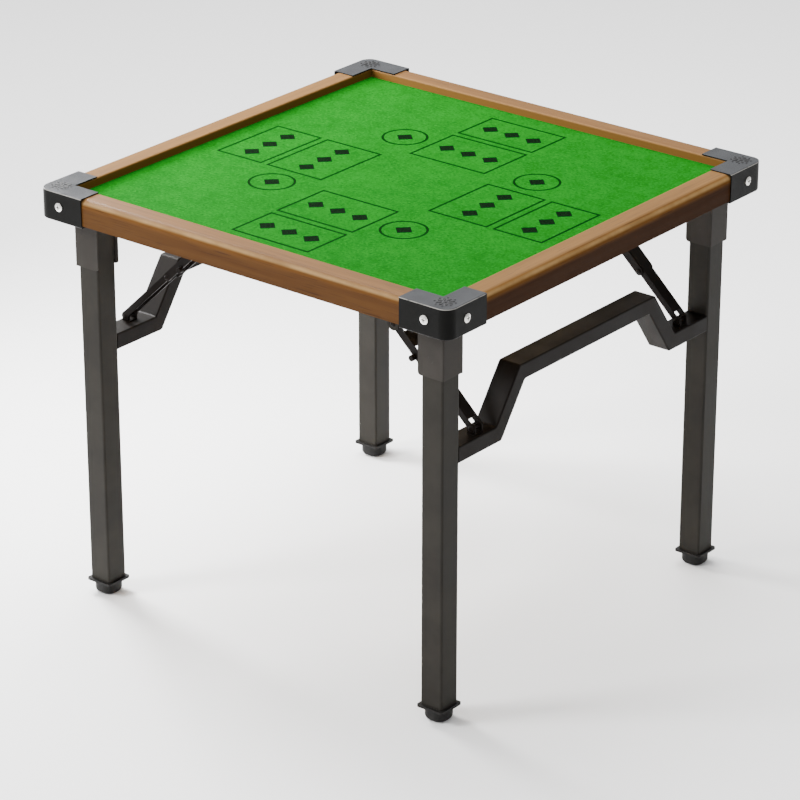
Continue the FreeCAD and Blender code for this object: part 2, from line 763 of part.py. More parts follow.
def stay_link(label, placement, tail, reach, width, edge_drop, web_start, web_end):
    """A pressed channel along +X with an eye at the origin and one at its reach, and a web on top.

    The tail runs back from the origin, and the web covers the channel between two places along X.
    """
    body = new_body(label)
    side_view = sketch_on(body, "XZ_Plane")
    rectangle(side_view, -tail, reach, -edge_drop, link_eye_radius)
    pad(body, side_view, width, "Symmetric")
    for spot in (as_size(0), reach):
        eye = sketch_on(body, "XZ_Plane")
        circle(eye, spot, 0, link_eye_radius)
        pad(body, eye, width, "Symmetric")
    past = link_eye_radius + overrun
    inside = sketch_on(body, "XZ_Plane")
    rectangle(inside, -tail - past, reach + past, -past, link_eye_radius - link_wall)
    pocket(body, inside, width - 2 * link_wall)
    ends = sketch_on(body, "XZ_Plane")
    rectangle(ends, -tail - past, web_start, as_size(0), past)
    rectangle(ends, web_end, reach + past, as_size(0), past)
    pocket(body, ends, width - 2 * link_wall)
    bores = sketch_on(body, "XZ_Plane")
    for spot in (as_size(0), reach):
        circle(bores, spot, 0, rivet_bore)
    pocket(body, bores, width + 2 * overrun)
    keep(body, placement)


def stub_rivet(label, start, face):
    """A rivet about Z through the sheets from one height up to a face, with its head on that face."""
    crown = face + rivet_head_height
    return revolved(label, [(0, start), (rivet_radius, start), (rivet_radius, face),
                            (rivet_head_radius, face), (rivet_head_radius * head_face_share, crown),
                            (0, crown)])


def through_rivet(label, half):
    """A rivet about Z with a thin head at each end."""
    crown = half + inner_rivet_head_height
    face = rivet_head_radius * head_face_share
    return revolved(label, [(0, -crown), (face, -crown), (rivet_head_radius, -half), (rivet_radius, -half),
                            (rivet_radius, half), (rivet_head_radius, half), (face, crown), (0, crown)])


def release_knob(label, placement):
    """A round press knob about Z that springs the stay out of its straight."""
    body = revolved(label, [(0, 0), (knob_radius, 0), (knob_radius, knob_length), (0, knob_length)])
    rounded(body, knob_edge_round, lambda edge: abs(edge.BoundBox.ZMin - knob_length.value) < NEAR)
    keep(body, placement)


def stays():
    """Four two-link stays that break at the knee and fold flat as their leg frame folds."""
    half_inside = upper_link_inside / 2
    bracket_rivet = stub_rivet("bracket_rivet", half_inside, stay_bracket_width / 2)
    knee_rivet = stub_rivet("knee_rivet", half_inside, upper_link_width / 2)
    lug_rivet = through_rivet("lug_rivet", lower_link_width / 2)
    bracket_rivets = []
    lug_rivets = {"right": [], "left": []}
    for side, end, turn, sign in corner_places():
        corner = end + "_" + side
        place_y = sign * stay_centre
        upper, lower = stay_lengths(side)[2:]
        stay_bracket(corner + "_stay_bracket", side, turn, place_y)
        stay_lug(corner + "_stay_lug", turn, place_y)
        both_ways = [lying(ORIGIN, ACROSS), lying(ORIGIN, -ACROSS)]
        at_bracket = on_stay(side, turn, place_y.value, 0)
        at_knee = on_stay(side, turn, place_y.value, upper.value)
        at_lug = on_stay(side, turn, place_y.value, upper.value + lower.value)
        stay_link(corner + "_upper_link", at_bracket, as_size(0), upper, upper_link_width,
                  link_eye_radius, upper_web_setback, upper - upper_fork_length)
        stay_link(corner + "_lower_link", at_knee, lower_link_tail, lower, lower_link_width,
                  lower_link_edge_drop, -lower_link_tail, lower - lower_web_setback)
        bracket_rivets += [at_bracket * way for way in both_ways]
        group(corner + "_knee_rivets", knee_rivet, [at_knee * way for way in both_ways])
        lug_rivets[side].append(at_lug * both_ways[0])
        edge = FreeCAD.Vector(0, sign * upper_link_width.value / 2, -link_eye_radius.value)
        at_knob = on_stay(side, turn, place_y.value, upper.value - knob_knee_distance.value)
        release_knob(corner + "_release_knob", at_knob * lying(edge, sign * ACROSS))
    group("stay_bracket_rivets", bracket_rivet, bracket_rivets)
    for side, places in lug_rivets.items():
        group(side + "_stay_lug_rivets", lug_rivet, places)


def leg_frames():
    for side, turn in SIDE_TURN.items():
        crossbar(side + "_crossbar", turn)
    for side, end, turn, sign in corner_places():
        corner = end + "_" + side
        place_y = sign * leg_place
        level = HINGE_LEVEL[side]
        leg_bracket(corner + "_leg_bracket", turn, place_y, level)
        leg(corner + "_leg", turn, place_y, level)
        foot(corner + "_foot", turn, place_y)


def top():
    board_and_felt()
    for label, turn in (("right_rail", 0), ("rear_rail", 90), ("left_rail", 180), ("front_rail", 270)):
        rail(label, turn)
    for label, turn in (("rear_right", 0), ("rear_left", 90), ("front_left", 180), ("front_right", 270)):
        corner_cap(label + "_corner_cap", turn)
    corner_cap_screws()


def check_document():
    """Stops before anything is written if an object failed or a shape is missing or unsound."""
    doc.recompute()
    for item in doc.Objects:
        if "Invalid" in item.State or "Error" in item.State:
            raise RuntimeError("%s did not build" % item.Label)
    for piece in exported:
        if piece.Shape.isNull() or not piece.Shape.isValid():
            raise RuntimeError("%s has no sound shape" % piece.Label)


def write_parts():
    os.makedirs("parts", exist_ok=True)
    for piece in exported:
        piece.Shape.exportStep("parts/%s.step" % piece.Label)
    print("%d sub-parts written" % len(exported))


top()
leg_frames()
leg_hinges()
wood_screws()
stays()
check_document()
write_parts()
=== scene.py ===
# %% [markdown]
# # A folding mahjong table
# The table has a green felt top inside brown wooden rails, black caps on its corners, and two leg frames
# that fold up under it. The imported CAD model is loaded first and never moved. This script gives every
# surface its finish, and models the cloth, the print on it and the small ornaments.

# %% Load the frame
import math

import bmesh
import bpy
from mathutils import Matrix, Vector, noise


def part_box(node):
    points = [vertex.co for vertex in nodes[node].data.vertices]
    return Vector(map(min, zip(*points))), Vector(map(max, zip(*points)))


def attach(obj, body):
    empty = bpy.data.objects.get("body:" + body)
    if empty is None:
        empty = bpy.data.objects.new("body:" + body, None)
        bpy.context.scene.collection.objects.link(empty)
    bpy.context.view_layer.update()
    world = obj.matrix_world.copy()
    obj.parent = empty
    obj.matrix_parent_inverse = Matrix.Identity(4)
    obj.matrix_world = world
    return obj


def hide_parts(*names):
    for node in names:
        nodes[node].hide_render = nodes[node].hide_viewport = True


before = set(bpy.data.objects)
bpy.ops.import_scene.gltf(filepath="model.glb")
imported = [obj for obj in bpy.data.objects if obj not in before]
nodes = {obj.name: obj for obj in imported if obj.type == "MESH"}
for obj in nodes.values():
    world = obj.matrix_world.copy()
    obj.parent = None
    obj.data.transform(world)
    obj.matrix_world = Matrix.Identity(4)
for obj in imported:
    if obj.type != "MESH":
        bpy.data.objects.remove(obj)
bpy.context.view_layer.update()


# %% [markdown]
# The camera stands where the photographer stood. Its place was found by matching the corners of the top
# and the four feet, so the lens is long and the lines of the table stay almost parallel.

# %% Camera
CAMERA_AZIMUTH = math.radians(38.81)
CAMERA_ELEVATION = math.radians(23.89)
CAMERA_PLACE = Vector((3.495, -4.357, 2.805))
CAMERA_LENS = 162.5
CAMERA_SENSOR = 36.0

camera_data = bpy.data.cameras.new("camera")
camera_data.lens = CAMERA_LENS
camera_data.sensor_width = CAMERA_SENSOR
camera = bpy.data.objects.new("camera", camera_data)
bpy.context.scene.collection.objects.link(camera)
backwards = Vector((
    math.sin(CAMERA_AZIMUTH) * math.cos(CAMERA_ELEVATION),
    -math.cos(CAMERA_AZIMUTH) * math.cos(CAMERA_ELEVATION),
    math.sin(CAMERA_ELEVATION),
))
camera.location = CAMERA_PLACE
camera.rotation_euler = backwards.to_track_quat("Z", "Y").to_euler()
bpy.context.scene.camera = camera
print("camera at", tuple(round(value, 3) for value in camera.location))

# %% [markdown]
# The studio starts with a wide pale floor. It can be seen through from below, so that the underside of the
# table can be looked at too.

# %% Studio floor
FLOOR_HALF = 30.0
FLOOR_ROUGHNESS = 0.9


def srgb(red, green, blue):
    """A colour as a picture editor gives it, turned into the linear one that shaders use."""
    parts = [value / 255 for value in (red, green, blue)]
    return tuple(p / 12.92 if p < 0.04045 else ((p + 0.055) / 1.055) ** 2.4 for p in parts) + (1.0,)


def finished(name, mesh_maker):
    """Links a new object at the origin from a bmesh that already has its place."""
    mesh = bpy.data.meshes.new(name)
    mesh_maker.to_mesh(mesh)
    mesh_maker.free()
    piece = bpy.data.objects.new(name, mesh)
    bpy.context.scene.collection.objects.link(piece)
    return piece


floor_shape = bmesh.new()
bmesh.ops.create_grid(floor_shape, x_segments=1, y_segments=1, size=FLOOR_HALF)
floor = finished("studio_floor", floor_shape)
floor_paint = bpy.data.materials.new("studio_floor")
floor_paint.use_nodes = True
floor_tree = floor_paint.node_tree
floor_shader = floor_tree.nodes["Principled BSDF"]
floor_shader.inputs["Base Color"].default_value = srgb(250, 250, 250)
floor_shader.inputs["Roughness"].default_value = FLOOR_ROUGHNESS
see_through = floor_tree.nodes.new("ShaderNodeBsdfTransparent")
which_side = floor_tree.nodes.new("ShaderNodeNewGeometry")
either = floor_tree.nodes.new("ShaderNodeMixShader")
floor_tree.links.new(which_side.outputs["Backfacing"], either.inputs["Fac"])
floor_tree.links.new(floor_shader.outputs["BSDF"], either.inputs[1])
floor_tree.links.new(see_through.outputs["BSDF"], either.inputs[2])
floor_tree.links.new(either.outputs["Shader"], floor_tree.nodes["Material Output"].inputs["Surface"])
floor.data.materials.append(floor_paint)
print("floor:", 2 * FLOOR_HALF, "m wide")

# %% [markdown]
# The sky is white, and brighter on the left than on the right, so that the two visible faces of each leg
# differ. One large soft light stands high on the left and a wider one hangs overhead. A small one low on the
# left lets the left rail throw a wide, soft shade on the felt, and brightens that side of the top.

# %% Sky and lights
SKY_LEFT = 1.5
SKY_RIGHT = 0.55
TABLE_MIDDLE = (0.0, 0.0, 0.6)
TABLE_TOP = (0.0, 0.0, 0.7)

world = bpy.data.worlds.new("white_sky")
world.use_nodes = True
sky_tree = world.node_tree
sky_direction = sky_tree.nodes.new("ShaderNodeTexCoord")
sky_split = sky_tree.nodes.new("ShaderNodeSeparateXYZ")
sky_tree.links.new(sky_direction.outputs["Generated"], sky_split.inputs["Vector"])
sky_fade = sky_tree.nodes.new("ShaderNodeMapRange")
sky_fade.inputs["From Min"].default_value = -1.0
sky_fade.inputs["To Min"].default_value = SKY_LEFT
sky_fade.inputs["To Max"].default_value = SKY_RIGHT
sky_tree.links.new(sky_split.outputs["X"], sky_fade.inputs["Value"])
sky_tree.links.new(sky_fade.outputs["Result"], sky_tree.nodes["Background"].inputs["Strength"])
sky_tree.nodes["Background"].inputs["Color"].default_value = (1.0, 1.0, 1.0, 1.0)
bpy.context.scene.world = world


def soft_light(name, place, target, width, power):
    """A square area light that faces a point of the table and isn't seen itself."""
    data = bpy.data.lights.new(name, "AREA")
    data.shape = "SQUARE"
    data.size = width
    data.energy = power
    light = bpy.data.objects.new(name, data)
    light.location = place
    light.rotation_euler = (Vector(place) - Vector(target)).to_track_quat("Z", "Y").to_euler()
    light.visible_camera = False
    bpy.context.scene.collection.objects.link(light)


soft_light("key_light", place=(-2.6, -3.6, 3.4), target=TABLE_MIDDLE, width=1.4, power=290.0)
soft_light("top_light", place=(-1.0, 0.7, 3.8), target=TABLE_MIDDLE, width=3.0, power=295.0)
soft_light("side_light", place=(-1.3, 0.0, 1.15), target=TABLE_TOP, width=0.5, power=70.0)
print("lights:", [light.name for light in bpy.data.lights])

# %% [markdown]
# Materials here are built from a few kinds of nodes, again and again. These helpers add one node each and
# return its output, so that a finish can be written as a chain of calls.

# %% Node helpers
EDGE_SOFT = 0.0003


def new_group(name, outputs, **inputs):
    """A shader node group that takes a place and numbers. Also returns its input and output nodes."""
    group = bpy.data.node_groups.new(name, "ShaderNodeTree")
    group.interface.new_socket("Vector", in_out="INPUT", socket_type="NodeSocketVector")
    for label, value in inputs.items():
        socket = group.interface.new_socket(label, in_out="INPUT", socket_type="NodeSocketFloat")
        socket.default_value = value
    for label in outputs:
        group.interface.new_socket(label, in_out="OUTPUT", socket_type="NodeSocketFloat")
    return group, group.nodes.new("NodeGroupInput"), group.nodes.new("NodeGroupOutput")


def feed(tree, socket, value):
    """Links an output into a socket, or sets a plain number or colour on it."""
    if isinstance(value, bpy.types.NodeSocket):
        tree.links.new(value, socket)
    else:
        socket.default_value = value


def math_node(tree, operation, first, second=None, clamp=False):
    """A Math node whose inputs are outputs of other nodes or plain numbers."""
    node = tree.nodes.new("ShaderNodeMath")
    node.operation = operation
    node.use_clamp = clamp
    feed(tree, node.inputs[0], first)
    if second is not None:
        feed(tree, node.inputs[1], second)
    return node.outputs["Value"]


def noise_node(tree, vector, scale, detail, roughness):
    """A Noise Texture, whose scale may come from another node."""
    node = tree.nodes.new("ShaderNodeTexNoise")
    tree.links.new(vector, node.inputs["Vector"])
    feed(tree, node.inputs["Scale"], scale)
    node.inputs["Detail"].default_value = detail
    node.inputs["Roughness"].default_value = roughness
    return node.outputs["Fac"]


def stretch_range(tree, value, low, high):
    """Spreads the values between low and high over 0 to 1, smoothly."""
    node = tree.nodes.new("ShaderNodeMapRange")
    node.interpolation_type = "SMOOTHSTEP"
    tree.links.new(value, node.inputs["Value"])
    node.inputs["From Min"].default_value = low
    node.inputs["From Max"].default_value = high
    return node.outputs["Result"]


def within(tree, distance, reach):
    """A mask that is 1 where a distance is below a reach, with an edge a little softer than a cut."""
    node = tree.nodes.new("ShaderNodeMapRange")
    tree.links.new(distance, node.inputs["Value"])
    node.inputs["From Min"].default_value = reach + EDGE_SOFT
    node.inputs["From Max"].default_value = reach - EDGE_SOFT
    return node.outputs["Result"]


print("printed and cut edges are soft over", 2 * EDGE_SOFT, "m")

# %% [markdown]
# Several finishes share the same small effects, so each effect is a node group that is built once: a fine
# moulded or sprayed grain, a slow mottling that keeps big areas from looking printed, and a mask of worn
# edges. The worn edges compare the true surface direction with a rounded one, which differ only near edges.

# %% Shared effects
BEVEL_SAMPLES = 6
CHIP_SCALE = 120.0
CHIP_LEAST = 0.35

grain_group, entry, leave = new_group("fine_grain", ["Height"], Scale=900.0)
specks = noise_node(grain_group, entry.outputs["Vector"], entry.outputs["Scale"], detail=3.0, roughness=0.6)
grain_group.links.new(specks, leave.inputs["Height"])

mottle_group, entry, leave = new_group("slow_mottle", ["Mask"], Scale=9.0)
cloud = noise_node(mottle_group, entry.outputs["Vector"], entry.outputs["Scale"], detail=4.0, roughness=0.55)
mottle_group.links.new(stretch_range(mottle_group, cloud, low=0.3, high=0.7), leave.inputs["Mask"])

wear_group, entry, leave = new_group("edge_wear", ["Mask"], Radius=0.0012)
soft_edge = wear_group.nodes.new("ShaderNodeBevel")
soft_edge.samples = BEVEL_SAMPLES
wear_group.links.new(entry.outputs["Radius"], soft_edge.inputs["Radius"])
surface = wear_group.nodes.new("ShaderNodeNewGeometry")
compare = wear_group.nodes.new("ShaderNodeVectorMath")
compare.operation = "DOT_PRODUCT"
wear_group.links.new(soft_edge.outputs["Normal"], compare.inputs[0])
wear_group.links.new(surface.outputs["Normal"], compare.inputs[1])
edge = math_node(wear_group, "SUBTRACT", 1.0, compare.outputs["Value"], clamp=True)
chips = noise_node(wear_group, entry.outputs["Vector"], CHIP_SCALE, detail=3.0, roughness=0.6)
edge = math_node(wear_group, "MULTIPLY", edge, math_node(wear_group, "ADD", chips, CHIP_LEAST))
wear_group.links.new(stretch_range(wear_group, edge, low=0.02, high=0.12), leave.inputs["Mask"])
print("effects:", [group.name for group in bpy.data.node_groups])

# %% [markdown]
# Every finish starts from the same few nodes: the shader, and the object's own coordinates in metres. One
# helper places a shared effect, another mixes two colours by a mask, and a third turns a height into bumps.
# The CAD model stands in its place, so masks by height or by distance from the middle find a piece's faces.

# %% Finish helpers
CORNERS = ("front_left", "front_right", "rear_left", "rear_right")


class Finish:
    """A material under construction, with the nodes that every finish on this table needs."""

    def __init__(self, name, roughness, **constants):
        self.material = bpy.data.materials.new(name)
        self.material.use_nodes = True
        self.tree = self.material.node_tree
        self.shader = self.tree.nodes["Principled BSDF"]
        self.shader.inputs["Roughness"].default_value = roughness
        for label, value in constants.items():
            self.shader.inputs[label.replace("_", " ")].default_value = value
        self.place = self.tree.nodes.new("ShaderNodeTexCoord").outputs["Object"]

    def effect(self, group, output, vector=None, **values):
        """The output of a shared effect placed in this material."""
        node = self.tree.nodes.new("ShaderNodeGroup")
        node.node_tree = group
        self.tree.links.new(vector or self.place, node.inputs["Vector"])
        for label, value in values.items():
            node.inputs[label].default_value = value
        return node.outputs[output]

    def grain(self, scale):
        """The height of the fine grain."""
        return self.effect(grain_group, "Height", Scale=scale)

    def mottle(self, scale):
        """The mask of the slow mottling."""
        return self.effect(mottle_group, "Mask", Scale=scale)

    def mix(self, mask, first, second):
        """Colour first where the mask is 0 and second where it is 1."""
        node = self.tree.nodes.new("ShaderNodeMix")
        node.data_type = "RGBA"
        self.tree.links.new(mask, node.inputs["Factor"])
        colour_inputs = [socket for socket in node.inputs if socket.type == "RGBA"]
        for socket, colour in zip(colour_inputs, (first, second)):
            feed(self.tree, socket, colour)
        return next(socket for socket in node.outputs if socket.type == "RGBA")

    def combine(self, operation, first, second=None, clamp=False):
        """A Math node of this material."""
        return math_node(self.tree, operation, first, second, clamp)

    def stretch(self, value, low, high):
        """The values between low and high, spread over 0 to 1."""
        return stretch_range(self.tree, value, low, high)

    def split_place(self):
        """The X, Y and Z of the place on the object."""
        split = self.tree.nodes.new("ShaderNodeSeparateXYZ")
        self.tree.links.new(self.place, split.inputs["Vector"])
        return split.outputs["X"], split.outputs["Y"], split.outputs["Z"]

    def above(self, low, high):
        """A mask that rises from 0 to 1 between two heights over the floor."""
        return self.stretch(self.split_place()[2], low, high)

    def band(self, low, high, soft):
        """A mask that is 1 between two heights, with soft limits."""
        upper = self.combine("SUBTRACT", 1.0, self.above(high - soft, high))
        return self.combine("MULTIPLY", self.above(low, low + soft), upper)

    def outward(self, low, high, corner_round=0.0):
        """A mask that rises from the table's middle outwards, measured on a square with rounded corners."""
        square = high - corner_round
        sides = [self.combine("ABSOLUTE", side) for side in self.split_place()[:2]]
        past = [self.combine("SUBTRACT", side, square) for side in sides]
        if corner_round:
            past = [self.combine("MAXIMUM", side, 0.0) for side in past]
            squares = [self.combine("MULTIPLY", side, side) for side in past]
            furthest = self.combine("SQRT", self.combine("ADD", *squares))
        else:
            furthest = self.combine("MAXIMUM", *past)
        return self.stretch(furthest, low - square, high - square)

    def colour(self, socket):
        """The colour of the surface."""
        self.tree.links.new(socket, self.shader.inputs["Base Color"])

    def roughness(self, mask, low, high):
        """Roughness that runs from low to high with a mask."""
        spread = self.combine("MULTIPLY", mask, high - low)
        self.tree.links.new(self.combine("ADD", spread, low), self.shader.inputs["Roughness"])

    def bumps(self, height, depth, strength):
        """Bumps of a real depth in metres."""
        node = self.tree.nodes.new("ShaderNodeBump")
        node.inputs["Strength"].default_value = strength
        node.inputs["Distance"].default_value = depth
        self.tree.links.new(height, node.inputs["Height"])
        self.tree.links.new(node.outputs["Normal"], self.shader.inputs["Normal"])


def dress(material, *names):
    """Gives CAD nodes a finish through their own material slots."""
    for name in names:
        piece = nodes[name]
        if not piece.material_slots:
            piece.data.materials.append(material)
        for place in piece.material_slots:
            place.material = material


def at_corners(*endings):
    """The names of the nodes that each corner has."""
    return [corner + ending for corner in CORNERS for ending in endings]


print("corners:", CORNERS)

# %% [markdown]
# Powder coat covers the legs, brackets, crossbars and stays. It is sprayed as a dry powder and baked, which
# leaves a faint orange-peel skin. It is a warm dark grey with a little mottling, rubbed lighter along the
# edges, and darker on the crossbars and stays.

# %% Powder-coated steel
COAT_GLOSS = 0.06
COAT_MOTTLE = 14.0
COAT_WEAR = 0.0014
COAT_SPREAD = 0.06


def powder_coat(name, base, tint, worn, roughness):
    """Baked paint in a base colour mottled with a tint, and worn on its edges."""
    finish = Finish(name, roughness, Specular_IOR_Level=COAT_GLOSS)
    mottle = finish.mottle(COAT_MOTTLE)
    wear = finish.effect(wear_group, "Mask", Radius=COAT_WEAR)
    finish.colour(finish.mix(wear, finish.mix(mottle, base, tint), worn))
    finish.roughness(mottle, roughness - COAT_SPREAD, roughness + COAT_SPREAD)
    finish.bumps(finish.grain(scale=650.0), depth=0.00025, strength=0.5)
    return finish.material


frame_paint = powder_coat("frame_powder_coat", base=srgb(36, 34, 31), tint=srgb(43, 41, 37),
                          worn=srgb(52, 50, 46), roughness=0.46)
bracket_paint = powder_coat("bracket_powder_coat", base=srgb(46, 43, 40), tint=srgb(52, 49, 46),
                            worn=srgb(48, 46, 44), roughness=0.46)
crossbar_paint = powder_coat("crossbar_powder_coat", base=srgb(16, 13, 11), tint=srgb(21, 17, 14),
                             worn=srgb(32, 28, 24), roughness=0.44)
stay_paint = powder_coat("stay_powder_coat", base=srgb(17, 13, 11), tint=srgb(21, 17, 15),
                         worn=srgb(31, 27, 24), roughness=0.42)
dress(frame_paint, *at_corners("_leg", "_stay_bracket"))
dress(crossbar_paint, *at_corners("_stay_lug"), "left_crossbar", "right_crossbar")
dress(bracket_paint, *at_corners("_leg_bracket"), "leg_hinge_pins")
dress(stay_paint, *at_corners("_upper_link", "_lower_link", "_release_knob", "_knee_rivets"),
      "stay_bracket_rivets", "left_stay_lug_rivets", "right_stay_lug_rivets")
print("powder coats:", frame_paint.name, bracket_paint.name, crossbar_paint.name, stay_paint.name)

# %% [markdown]
# The corner caps are moulded in black plastic with a leathery grain. Their top faces are painted lighter than
# their sides, a painted reflection of the bright sky above, and a thin painted highlight runs round each top.
# The highlight is where two masks meet: a band just under the top, and the outermost millimetres of a square
# with rounded corners.

# %% Corner caps
CAP_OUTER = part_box("front_right_corner_cap")[1][0]
CAP_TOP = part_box("front_right_corner_cap")[1][2]
CAP_CORNER_ROUND = 0.020
RIM_LOW = CAP_TOP - 0.0019
RIM_HIGH = CAP_TOP - 0.0003
RIM_SOFT = 0.0003
RIM_OUTER_INSET = 0.0018
RIM_INNER_INSET = 0.0024

cap_finish = Finish("cap_plastic", 0.4, Specular_IOR_Level=0.06)
# A thin pale line is painted round the outer edge of each top: a painted highlight, made patchy by a grain.
rim = cap_finish.band(RIM_LOW, RIM_HIGH, RIM_SOFT)
cap_edge = cap_finish.outward(CAP_OUTER - RIM_INNER_INSET, CAP_OUTER - RIM_OUTER_INSET,
                              CAP_CORNER_ROUND - RIM_OUTER_INSET)
cap_rim_highlight = cap_finish.combine("MULTIPLY", cap_edge, rim)
patchy = cap_finish.stretch(cap_finish.grain(scale=70.0), low=0.2, high=0.5)
cap_rim_highlight = cap_finish.combine("MULTIPLY", cap_rim_highlight, patchy)
cap_mottle = cap_finish.mottle(scale=40.0)
cap_sides = cap_finish.mix(cap_mottle, srgb(9, 9, 8), srgb(13, 13, 12))
# Painted reflection: the flat top face is painted a lighter grey than the black sides.
cap_top_painted_reflection = cap_finish.mix(cap_mottle, srgb(42, 43, 45), srgb(51, 52, 54))
cap_sides_and_painted_top = cap_finish.mix(cap_finish.above(CAP_TOP - 0.0010, CAP_TOP - 0.0002), cap_sides, cap_top_painted_reflection)
# The pale grey mixed in here is the painted highlight on the rim.
cap_finish.colour(cap_finish.mix(cap_rim_highlight, cap_sides_and_painted_top, srgb(134, 132, 128)))
cap_finish.roughness(cap_mottle, low=0.34, high=0.44)
cap_finish.bumps(cap_finish.grain(scale=1100.0), depth=0.0003, strength=0.55)
dress(cap_finish.material, *at_corners("_corner_cap"))
print("caps: top at", round(CAP_TOP, 4), "m, outer faces", round(CAP_OUTER, 4), "m from the middle")

# %% [markdown]
# The feet are black rubber, and the washers and bushes in the hinges are nylon in its natural colour. Both
# are plain moulded stuff: two close colours in a slow mottle, and a very fine grain.

# %% Rubber and nylon
FOOT_PATCHES = 60.0


def moulded(name, roughness, gloss, colours, patch_scale, grain_scale, depth, strength):
    """A plain moulded finish in two colours."""
    finish = Finish(name, roughness, Specular_IOR_Level=gloss)
    finish.colour(finish.mix(finish.mottle(patch_scale), *colours))
    finish.bumps(finish.grain(grain_scale), depth, strength)
    return finish


foot_finish = moulded(
    "foot_rubber", roughness=0.55, gloss=0.15, colours=(srgb(22, 21, 20), srgb(29, 28, 27)),
    patch_scale=FOOT_PATCHES, grain_scale=1400.0, depth=0.0002, strength=0.4)
foot_finish.roughness(foot_finish.mottle(FOOT_PATCHES), low=0.48, high=0.66)
dress(foot_finish.material, *at_corners("_foot"))

nylon_finish = moulded(
    "natural_nylon", roughness=0.5, gloss=0.5, colours=(srgb(183, 181, 172), srgb(168, 165, 154)),
    patch_scale=90.0, grain_scale=1600.0, depth=0.0001, strength=0.3)
dress(nylon_finish.material, "leg_hinge_washers", "left_hinge_bushes", "right_hinge_bushes")
print("moulded finishes:", foot_finish.material.name, nylon_finish.material.name)

# %% [markdown]
# Screws and rivets are plated. The big screws in the caps are bright nickel, polished but never perfectly
# even, with a painted shade in the crosses of their heads, and the small ones under the board are duller
# zinc.

# %% Plated fasteners
CAP_SCREW_INSET = 0.046
CAP_SCREW_DROP = 0.025
CROSS_HALF_WIDTH = 0.0009
CROSS_REACH = 0.0038


def plating(name, bright, dull, low, high):
    """Bare metal whose roughness runs from low to high. Returns the finish and its colour."""
    finish = Finish(name, low, Metallic=1.0)
    mottle = finish.mottle(scale=220.0)
    finish.roughness(mottle, low, high)
    finish.bumps(finish.grain(scale=2400.0), depth=0.00006, strength=0.3)
    return finish, finish.mix(mottle, bright, dull)


zinc, zinc_colour = plating("dull_zinc", srgb(188, 188, 186), srgb(160, 160, 160), low=0.32, high=0.48)
zinc.colour(zinc_colour)
dress(zinc.material, "leg_bracket_screws", "stay_bracket_screws")

nickel, nickel_colour = plating("bright_nickel", srgb(240, 238, 232), srgb(222, 220, 214), low=0.16, high=0.3)
# A dark cross is painted on each cap screw's head: painted shade in the recess of its cross slot.
x, y, z = nickel.split_place()
sideways = nickel.combine("MINIMUM", nickel.combine("ABSOLUTE", x), nickel.combine("ABSOLUTE", y))
sideways = nickel.combine("ABSOLUTE", nickel.combine("SUBTRACT", sideways, CAP_OUTER - CAP_SCREW_INSET))
upright = nickel.combine("ABSOLUTE", nickel.combine("SUBTRACT", z, CAP_TOP - CAP_SCREW_DROP))
arms = within(nickel.tree, nickel.combine("MINIMUM", sideways, upright), CROSS_HALF_WIDTH)
ends = within(nickel.tree, nickel.combine("MAXIMUM", sideways, upright), CROSS_REACH)
painted_cross_shade = nickel.combine("MULTIPLY", arms, ends)
nickel.colour(nickel.mix(painted_cross_shade, nickel_colour, srgb(70, 68, 64)))
dress(nickel.material, "corner_cap_screws")
print("plating:", nickel.material.name, zinc.material.name)

# %% [markdown]
# The rails are hardwood, stained brown and lacquered, and the board is of paler wood. Wood grain runs along a
# board, so the noise that draws it is squeezed along the rail's length. The front and rear rails run along X
# and the others along Y, so the same grain group is placed twice, once turned by a quarter turn.

# %% Wood grain
FIGURE_SQUEEZE = (1.6, 34.0, 34.0)
PORE_SQUEEZE = (16.0, 620.0, 620.0)

grain_lines, entry, leave = new_group("wood_grain", ["Figure", "Pores"])


def squeezed_noise(squeeze, scale, detail, roughness):
    """Noise in the grain group, drawn out along X."""
    mapping = grain_lines.nodes.new("ShaderNodeMapping")
    mapping.inputs["Scale"].default_value = squeeze
    grain_lines.links.new(entry.outputs["Vector"], mapping.inputs["Vector"])
    return noise_node(grain_lines, mapping.outputs["Vector"], scale, detail, roughness)


figure = squeezed_noise(FIGURE_SQUEEZE, scale=1.6, detail=5.0, roughness=0.62)
pores = squeezed_noise(PORE_SQUEEZE, scale=1.0, detail=2.0, roughness=0.5)
grain_lines.links.new(stretch_range(grain_lines, figure, low=0.28, high=0.72), leave.inputs["Figure"])
grain_lines.links.new(stretch_range(grain_lines, pores, low=0.56, high=0.72), leave.inputs["Pores"])


def stained_wood(name, turn, light, dark, pore, roughness, gloss):
    """Wood with its grain along X, or along Y when turned. Returns the finish and its colour."""
    finish = Finish(name, roughness, Specular_IOR_Level=gloss)
    turned = finish.tree.nodes.new("ShaderNodeMapping")
    turned.inputs["Rotation"].default_value = (0.0, 0.0, turn)
    finish.tree.links.new(finish.place, turned.inputs["Vector"])
    along = turned.outputs["Vector"]
    figure_mask = finish.effect(grain_lines, "Figure", along)
    pore_mask = finish.effect(grain_lines, "Pores", along)
    colour = finish.mix(pore_mask, finish.mix(figure_mask, light, dark), pore)
    finish.roughness(figure_mask, roughness - 0.05, roughness + 0.08)
    finish.bumps(finish.combine("SUBTRACT", 1.0, pore_mask), depth=0.0001, strength=0.5)
    return finish, colour


board, board_colour = stained_wood("board_wood", 0.0, light=srgb(175, 152, 118), dark=srgb(157, 132, 98),
                                   pore=srgb(134, 109, 78), roughness=0.6, gloss=0.08)
board.colour(board_colour)
dress(board.material, "top_board")
print("grain squeezed", FIGURE_SQUEEZE[1] / FIGURE_SQUEEZE[0], "times")

